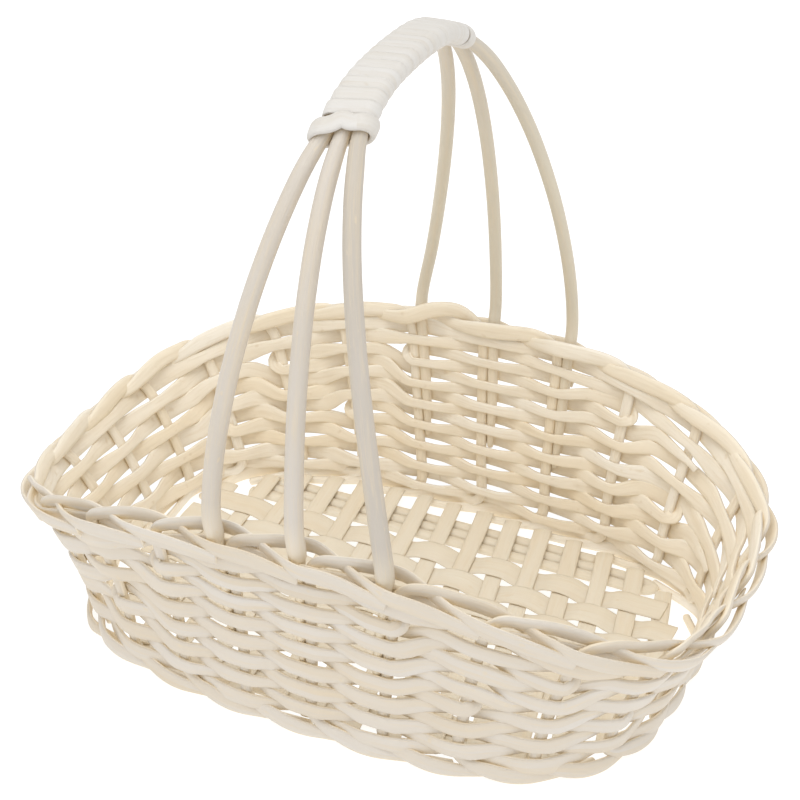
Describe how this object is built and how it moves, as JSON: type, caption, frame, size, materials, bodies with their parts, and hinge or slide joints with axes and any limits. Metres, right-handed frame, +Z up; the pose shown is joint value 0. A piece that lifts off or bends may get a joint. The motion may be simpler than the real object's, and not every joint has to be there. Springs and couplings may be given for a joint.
{
  "type": "wicker basket",
  "caption": "Shallow oval basket of peeled white willow with dipped ends, a woven trac border, an open lattice floor and a fixed hoop handle of gathered rods wound at the grip.",
  "frame": {"origin": "middle of the basket's box, on the surface that the basket stands on", "axes": "+X along the basket, -Y the front, +Z up towards the handle"},
  "size_m": [0.3721, 0.2471, 0.3132],
  "materials": {
    "stake_willow": "peeled willow rod, matt",
    "weaver_willow": "peeled willow weaver, matt",
    "handle_willow": "thick peeled willow rod, satin",
    "skein_willow": "split willow skein, satin",
    "floor_willow": "split willow, matt"
  },
  "bodies": {
    "root": {"stake_01": "stake_willow", "stake_02": "stake_willow", "stake_03": "stake_willow", "stake_04": "stake_willow", "stake_05": "stake_willow", "stake_06": "stake_willow", "stake_07": "stake_willow", "stake_08": "stake_willow", "stake_09": "stake_willow", "stake_10": "stake_willow", "stake_11": "stake_willow", "stake_12": "stake_willow", "stake_13": "stake_willow", "stake_14": "stake_willow", "stake_15": "stake_willow", "stake_16": "stake_willow", "stake_17": "stake_willow", "stake_18": "stake_willow", "stake_19": "stake_willow", "stake_20": "stake_willow", "stake_21": "stake_willow", "stake_22": "stake_willow", "stake_23": "stake_willow", "stake_24": "stake_willow", "stake_25": "stake_willow", "weaver_lower": "weaver_willow", "weaver_upper": "weaver_willow", "packing_back_lower": "weaver_willow", "packing_back_upper": "weaver_willow", "packing_front_lower": "weaver_willow", "packing_front_upper": "weaver_willow", "handle_rod_left": "handle_willow", "handle_rod_middle": "handle_willow", "handle_rod_right": "handle_willow", "handle_wrap": "skein_willow", "handle_collar_front": "skein_willow", "handle_collar_back": "skein_willow", "floor_slat_01": "floor_willow", "floor_slat_02": "floor_willow", "floor_slat_03": "floor_willow", "floor_slat_04": "floor_willow", "floor_slat_05": "floor_willow", "floor_slat_06": "floor_willow", "floor_slat_07": "floor_willow", "floor_slat_08": "floor_willow", "floor_slat_09": "floor_willow", "floor_slat_10": "floor_willow", "floor_slat_11": "floor_willow", "floor_slat_12": "floor_willow", "floor_slat_13": "floor_willow", "floor_slat_14": "floor_willow", "floor_slat_15": "floor_willow", "floor_strip_1": "floor_willow", "floor_strip_2": "floor_willow", "floor_strip_3": "floor_willow", "floor_strip_4": "floor_willow", "floor_strip_5": "floor_willow", "floor_strip_6": "floor_willow", "floor_edge_rod_front": "floor_willow", "floor_edge_rod_back": "floor_willow"}
  },
  "joints": []
}
